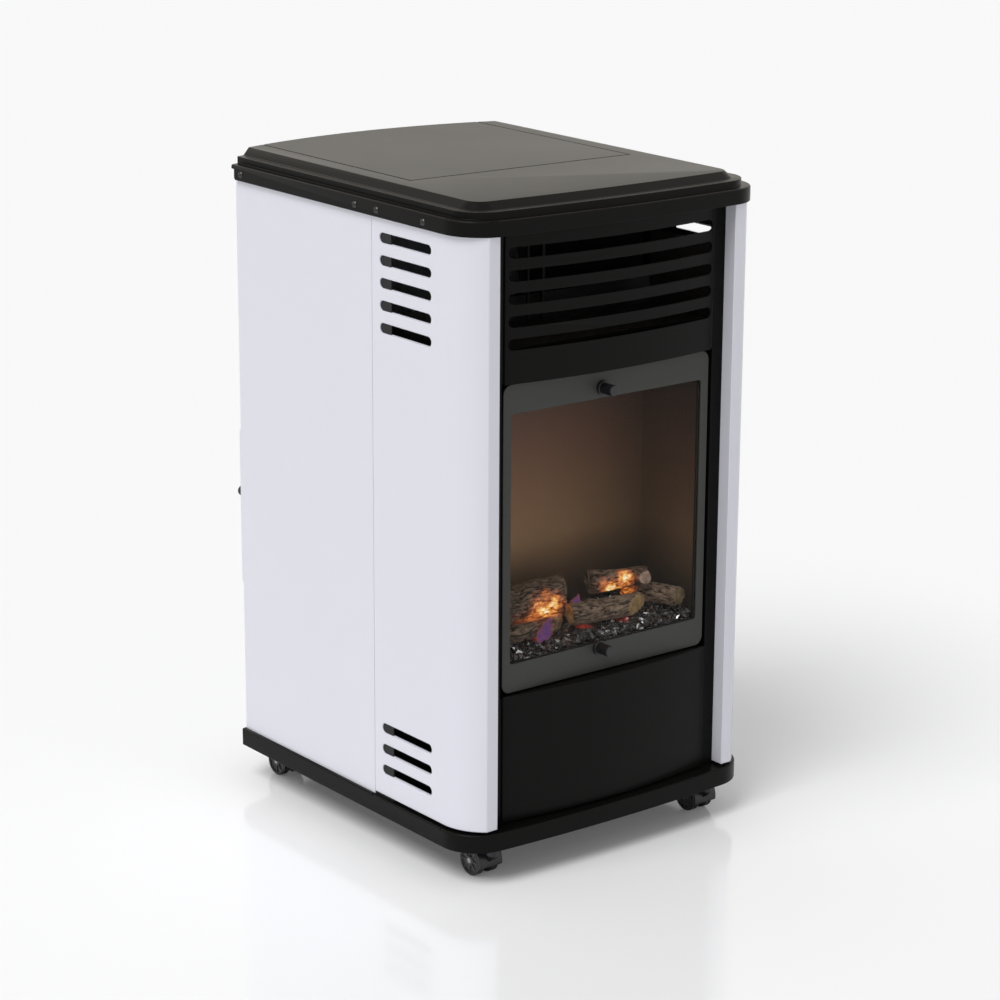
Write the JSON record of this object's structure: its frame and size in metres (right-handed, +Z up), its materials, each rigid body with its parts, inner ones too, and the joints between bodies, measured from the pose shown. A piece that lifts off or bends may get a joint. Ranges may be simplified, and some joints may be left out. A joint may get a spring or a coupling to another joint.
{
  "type": "portable gas cabinet heater",
  "caption": "Free-standing gas heater cabinet on casters, with a glazed fire window, a louvred bowed front, a hinged top lid over the controls and a rear door to the bottle bay.",
  "frame": {"origin": "on the floor under the middle of the cabinet, at the bottom centre of its bounding box", "axes": "+Z up, the fire window faces -Y, the bottle door faces +Y, +X is to the right seen from the front"},
  "size_m": [0.4336, 0.5086, 0.7861],
  "materials": {
    "white_powder_coat": "gloss powder coat",
    "black_powder_coat": "satin powder coat",
    "grey_frame_paint": "matt dark grey paint",
    "fire_glass": "heat-resistant glass, slightly tinted",
    "fibre_gasket": "woven glass-fibre tape",
    "galvanised_steel": "spangled zinc",
    "scorched_steel": "heat-browned steel",
    "coal_stone": "black glittery crushed coal",
    "ceramic_log": "bark-like ceramic fibre",
    "white_ceramic": "glazed insulator",
    "brass_fittings": "turned",
    "cast_aluminium": "die cast",
    "bright_pipe": "bright drawn",
    "zinc_steel": "zinc plated",
    "screw_steel": "plated dome head",
    "black_plastic": "moulded, fine texture",
    "red_plastic": "moulded",
    "wheel_plastic": "moulded grey disc with black tyre"
  },
  "bodies": {
    "cabinet": {"side_panel_left": "white_powder_coat", "side_panel_right": "white_powder_coat", "corner_post_left": "white_powder_coat", "corner_post_right": "white_powder_coat", "base_plate": "black_powder_coat", "top_cover": "black_powder_coat", "louvre_panel": "black_powder_coat", "lower_panel": "black_powder_coat", "chassis_front": "black_powder_coat", "control_tray": "black_powder_coat", "glass_frame": "grey_frame_paint", "fire_glass": "fire_glass", "glass_gasket": "fibre_gasket", "panel_joiner_left": "galvanised_steel", "panel_joiner_right": "galvanised_steel", "door_brackets": "galvanised_steel", "firebox_liner": "scorched_steel", "firebox_hood": "scorched_steel", "bottle_shield": "galvanised_steel", "burner_tray": "scorched_steel", "burner_tube": "scorched_steel", "ember_bed": "coal_stone", "log_front": "ceramic_log", "log_left": "ceramic_log", "log_right": "ceramic_log", "log_top": "ceramic_log", "log_low": "ceramic_log", "pilot_burner": "brass_fittings", "ignition_electrode": "white_ceramic", "thermocouple": "brass_fittings", "gas_valve": "cast_aluminium", "igniter_body": "black_plastic", "burner_pipe": "bright_pipe", "pilot_pipe": "bright_pipe", "gas_inlet": "brass_fittings", "door_hinge_pins": "zinc_steel", "lid_hinge_pins": "zinc_steel", "door_catch": "zinc_steel", "rim_screws": "screw_steel", "caster_sockets": "zinc_steel"},
    "thumb_knob_top": {"thumb_knob_top": "black_plastic"},
    "thumb_knob_bottom": {"thumb_knob_bottom": "black_plastic"},
    "control_knob": {"control_knob": "black_plastic"},
    "igniter_button": {"igniter_button": "red_plastic"},
    "top_lid": {"top_lid": "black_powder_coat"},
    "rear_door": {"rear_door": "white_powder_coat"},
    "latch": {"latch_knob": "black_plastic", "latch_cam": "zinc_steel"},
    "caster_front_left": {"caster_body_front_left": "black_plastic", "caster_axle_front_left": "zinc_steel"},
    "wheels_front_left": {"caster_wheels_front_left": "wheel_plastic"},
    "caster_front_right": {"caster_body_front_right": "black_plastic", "caster_axle_front_right": "zinc_steel"},
    "wheels_front_right": {"caster_wheels_front_right": "wheel_plastic"},
    "caster_rear_left": {"caster_body_rear_left": "black_plastic", "caster_axle_rear_left": "zinc_steel"},
    "wheels_rear_left": {"caster_wheels_rear_left": "wheel_plastic"},
    "caster_rear_right": {"caster_body_rear_right": "black_plastic", "caster_axle_rear_right": "zinc_steel"},
    "wheels_rear_right": {"caster_wheels_rear_right": "wheel_plastic"}
  },
  "joints": [
    {"name": "lid_lift", "type": "hinge", "parent": "cabinet", "child": "top_lid", "pos_m": [0, -0.0559, 0.7821], "axis": [1, 0, 0], "range_deg": [0, 95]},
    {"name": "door_swing", "type": "hinge", "parent": "cabinet", "child": "rear_door", "pos_m": [0.2, 0.212, 0.4], "axis": [0, 0, -1], "range_deg": [0, 105]},
    {"name": "latch_turn", "type": "hinge", "parent": "rear_door", "child": "latch", "pos_m": [-0.1925, 0.2285, 0.362], "axis": [0, -1, 0], "range_deg": [0, 90]},
    {"name": "thumb_knob_top_turn", "type": "hinge", "parent": "cabinet", "child": "thumb_knob_top", "pos_m": [-0.0095, -0.22525, 0.5583], "axis": [0, -1, 0], "continuous": true},
    {"name": "thumb_knob_bottom_turn", "type": "hinge", "parent": "cabinet", "child": "thumb_knob_bottom", "pos_m": [-0.0095, -0.22525, 0.2485], "axis": [0, -1, 0], "continuous": true},
    {"name": "control_turn", "type": "hinge", "parent": "cabinet", "child": "control_knob", "pos_m": [0, -0.022, 0.732], "axis": [0, 0, 1], "range_deg": [0, 240]},
    {"name": "igniter_push", "type": "slide", "parent": "cabinet", "child": "igniter_button", "axis": [0, 0, -1], "range_m": [0, 0.006], "stiffness_N_per_m": 300, "springref_m": -0.002},
    {"name": "swivel_front_left", "type": "hinge", "parent": "cabinet", "child": "caster_front_left", "pos_m": [-0.164, -0.2275, 0.042], "axis": [0, 0, 1], "continuous": true},
    {"name": "roll_front_left", "type": "hinge", "parent": "caster_front_left", "child": "wheels_front_left", "pos_m": [-0.164, -0.2025, 0.018], "axis": [1, 0, 0], "continuous": true},
    {"name": "swivel_front_right", "type": "hinge", "parent": "cabinet", "child": "caster_front_right", "pos_m": [0.164, -0.2275, 0.042], "axis": [0, 0, 1], "continuous": true},
    {"name": "roll_front_right", "type": "hinge", "parent": "caster_front_right", "child": "wheels_front_right", "pos_m": [0.164, -0.2025, 0.018], "axis": [1, 0, 0], "continuous": true},
    {"name": "swivel_rear_left", "type": "hinge", "parent": "cabinet", "child": "caster_rear_left", "pos_m": [-0.164, 0.173, 0.042], "axis": [0, 0, 1], "continuous": true},
    {"name": "roll_rear_left", "type": "hinge", "parent": "caster_rear_left", "child": "wheels_rear_left", "pos_m": [-0.164, 0.198, 0.018], "axis": [1, 0, 0], "continuous": true},
    {"name": "swivel_rear_right", "type": "hinge", "parent": "cabinet", "child": "caster_rear_right", "pos_m": [0.164, 0.173, 0.042], "axis": [0, 0, 1], "continuous": true},
    {"name": "roll_rear_right", "type": "hinge", "parent": "caster_rear_right", "child": "wheels_rear_right", "pos_m": [0.164, 0.198, 0.018], "axis": [1, 0, 0], "continuous": true}
  ]
}
